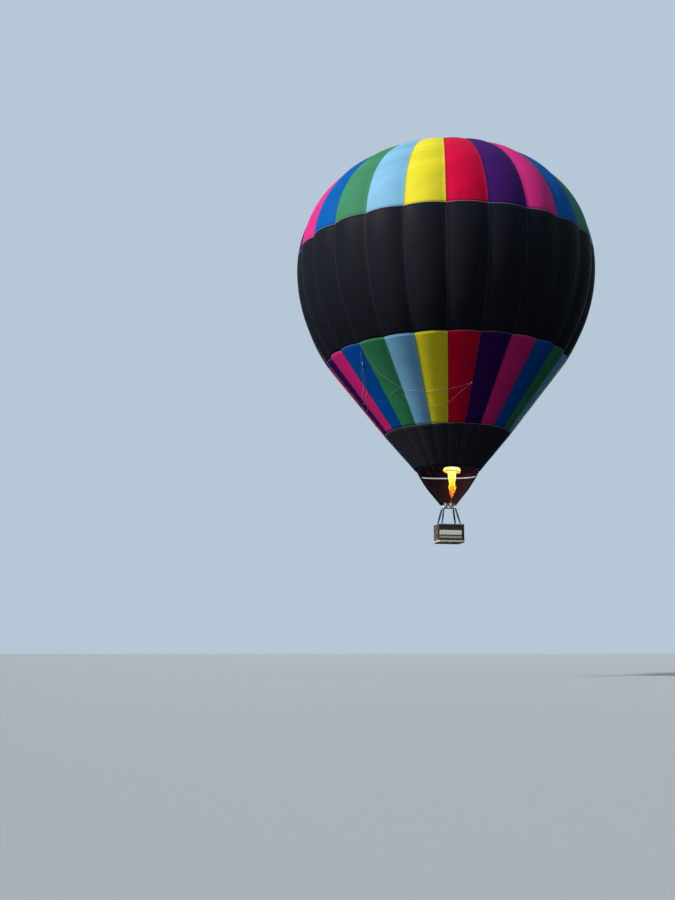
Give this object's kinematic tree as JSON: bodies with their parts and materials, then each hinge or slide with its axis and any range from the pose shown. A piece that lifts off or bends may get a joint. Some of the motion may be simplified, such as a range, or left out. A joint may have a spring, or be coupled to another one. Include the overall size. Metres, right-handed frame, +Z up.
{
  "type": "hot air balloon",
  "caption": "Inverted-teardrop fabric envelope of vertical gores with a parachute valve, scoop, gimballed double burner and a wicker basket hung below.",
  "frame": {"origin": "on the balloon's vertical axis, at the middle of the envelope's widest circle, where the air holds it up", "axes": "+Z up, -Y out of the basket's front wall, X along the basket's long side"},
  "size_m": [18.78, 18.78, 25.448],
  "materials": {
    "envelope_colours": "coated ripstop cloth, each gore one plain colour",
    "envelope_black": "coated ripstop cloth",
    "load_tape": "woven tape",
    "scoop_cloth": "heat-proof cloth, dark outside and maroon inside",
    "wire_rope": "stranded",
    "frame_steel": "satin",
    "burner_brass": "machined",
    "burner_steel": "heat-tinted",
    "upright_cover": "padded zipped cover",
    "wicker": "woven cane",
    "hide": "laced hide",
    "suede": "padded suede",
    "plywood": "varnished",
    "banner_cloth": "plain striped cloth",
    "cylinder_steel": "brushed"
  },
  "bodies": {
    "balloon": {"envelope_crown": "envelope_colours", "envelope_belt": "envelope_black", "envelope_stripes": "envelope_colours", "envelope_base": "envelope_black", "crown_tapes": "load_tape", "mouth_tape": "load_tape", "scoop": "scoop_cloth", "flying_wires_front_left": "wire_rope", "flying_wires_front_right": "wire_rope", "flying_wires_back_left": "wire_rope", "flying_wires_back_right": "wire_rope", "load_frame": "frame_steel", "upright_front_left": "upright_cover", "upright_front_right": "upright_cover", "upright_back_left": "upright_cover", "upright_back_right": "upright_cover", "basket_wall_front": "wicker", "basket_wall_back": "wicker", "basket_wall_left": "wicker", "basket_wall_right": "wicker", "basket_corner_front_left": "hide", "basket_corner_front_right": "hide", "basket_corner_back_left": "hide", "basket_corner_back_right": "hide", "basket_rim": "suede", "basket_floor": "plywood", "base_band": "hide", "runner_front": "plywood", "runner_middle": "plywood", "runner_back": "plywood", "banner": "banner_cloth", "fuel_cylinder_front_left": "cylinder_steel", "fuel_cylinder_front_right": "cylinder_steel", "fuel_cylinder_back_left": "cylinder_steel", "fuel_cylinder_back_right": "cylinder_steel"},
    "valve": {"parachute_valve": "envelope_colours"},
    "gimbal": {"gimbal_ring": "frame_steel"},
    "burner": {"burner_block": "burner_brass", "burner_can_left": "burner_steel", "burner_can_right": "burner_steel", "burner_coil_left": "burner_steel", "burner_coil_right": "burner_steel"}
  },
  "joints": [
    {"name": "valve_pull", "type": "slide", "parent": "balloon", "child": "valve", "axis": [0, 0, -1], "range_m": [0, 1], "stiffness_N_per_m": 300, "springref_m": -0.6},
    {"name": "gimbal_tilt", "type": "hinge", "parent": "balloon", "child": "gimbal", "pos_m": [0, 0, -15.24], "axis": [1, 0, 0], "range_deg": [-10, 10]},
    {"name": "burner_tilt", "type": "hinge", "parent": "gimbal", "child": "burner", "pos_m": [0, 0, -15.24], "axis": [0, 1, 0], "range_deg": [-10, 10]}
  ]
}
